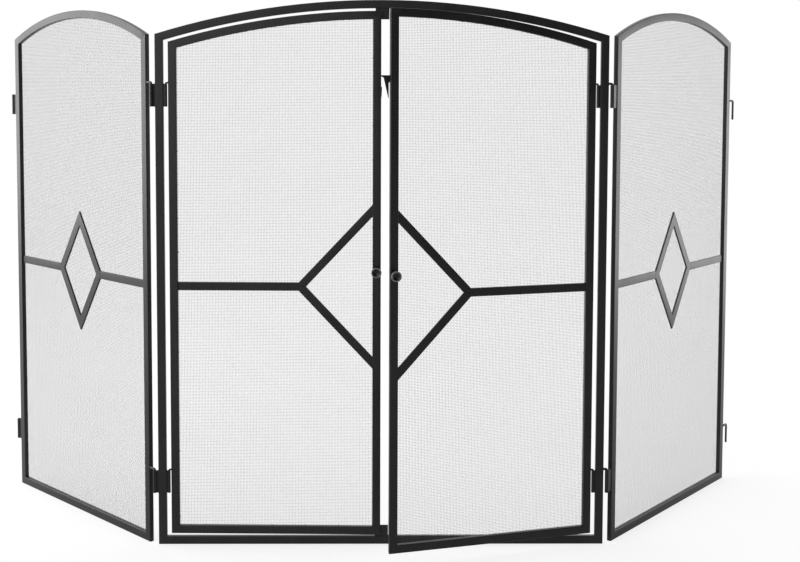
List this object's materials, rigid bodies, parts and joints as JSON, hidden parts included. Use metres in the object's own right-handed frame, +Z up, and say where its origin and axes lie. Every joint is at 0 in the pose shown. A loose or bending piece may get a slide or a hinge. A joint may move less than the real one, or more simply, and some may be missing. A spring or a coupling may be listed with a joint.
{
  "type": "fireplace safety gate",
  "caption": "Free-standing arched fireplace gate: a tube frame with two hinged mesh doors and round knobs, and two folding mesh wings with diamond bars, hung on hooks in sockets.",
  "frame": {"origin": "underside of the centre frame's bottom rail, at the middle of its width and of its depth, on the floor", "axes": "+X along the width, to the right seen from the front; +Y to the back, towards the fire; +Z up"},
  "size_m": [1.2185, 0.3933, 0.8],
  "materials": {
    "black_coat": "satin black powder coat",
    "wire_mesh": "fine black coated steel wire, woven",
    "knob_black": "semi-gloss black",
    "screw_steel": "zinc plated"
  },
  "bodies": {
    "frame": {"frame_left_stile": "black_coat", "frame_right_stile": "black_coat", "frame_arch_rail": "black_coat", "frame_bottom_rail": "black_coat", "frame_top_stop": "black_coat", "frame_bottom_stop": "black_coat", "frame_left_wing_sockets": "black_coat", "frame_right_wing_hooks": "black_coat", "frame_left_door_sockets": "black_coat", "frame_right_door_sockets": "black_coat"},
    "left_door": {"left_door_hinge_stile": "black_coat", "left_door_free_stile": "black_coat", "left_door_arch_rail": "black_coat", "left_door_bottom_rail": "black_coat", "left_door_cross_bar": "black_coat", "left_door_upper_bar": "black_coat", "left_door_lower_bar": "black_coat", "left_door_mesh": "wire_mesh", "left_door_hooks": "black_coat", "left_door_knob": "knob_black", "left_door_knob_screw": "screw_steel", "left_door_spacer": "black_coat"},
    "right_door": {"right_door_hinge_stile": "black_coat", "right_door_free_stile": "black_coat", "right_door_arch_rail": "black_coat", "right_door_bottom_rail": "black_coat", "right_door_cross_bar": "black_coat", "right_door_upper_bar": "black_coat", "right_door_lower_bar": "black_coat", "right_door_mesh": "wire_mesh", "right_door_hooks": "black_coat", "right_door_knob": "knob_black", "right_door_knob_screw": "screw_steel", "right_door_lap_tab": "black_coat"},
    "left_wing": {"left_wing_inner_stile": "black_coat", "left_wing_outer_stile": "black_coat", "left_wing_arch_rail": "black_coat", "left_wing_bottom_rail": "black_coat", "left_wing_inner_arm": "black_coat", "left_wing_outer_arm": "black_coat", "left_wing_diamond": "black_coat", "left_wing_mesh": "wire_mesh", "left_wing_hooks": "black_coat", "left_wing_outer_sockets": "black_coat"},
    "right_wing": {"right_wing_inner_stile": "black_coat", "right_wing_outer_stile": "black_coat", "right_wing_arch_rail": "black_coat", "right_wing_bottom_rail": "black_coat", "right_wing_inner_arm": "black_coat", "right_wing_outer_arm": "black_coat", "right_wing_diamond": "black_coat", "right_wing_mesh": "wire_mesh", "right_wing_sockets": "black_coat", "right_wing_outer_hooks": "black_coat"}
  },
  "joints": [
    {"name": "left_wing_fold", "type": "hinge", "parent": "frame", "child": "left_wing", "pos_m": [-0.3332, -0.002, 0.375], "axis": [0, 0, -1], "range_deg": [-43.7, 61.3]},
    {"name": "right_wing_fold", "type": "hinge", "parent": "frame", "child": "right_wing", "pos_m": [0.3332, -0.002, 0.375], "axis": [0, 0, 1], "range_deg": [-48.6, 56.4]},
    {"name": "left_door_swing", "type": "hinge", "parent": "frame", "child": "left_door", "pos_m": [-0.3125, -0.002, 0.375], "axis": [0, 0, -1], "range_deg": [0, 108.8]},
    {"name": "right_door_swing", "type": "hinge", "parent": "frame", "child": "right_door", "pos_m": [0.3125, -0.002, 0.375], "axis": [0, 0, 1], "range_deg": [-12.3, 95.4]}
  ]
}
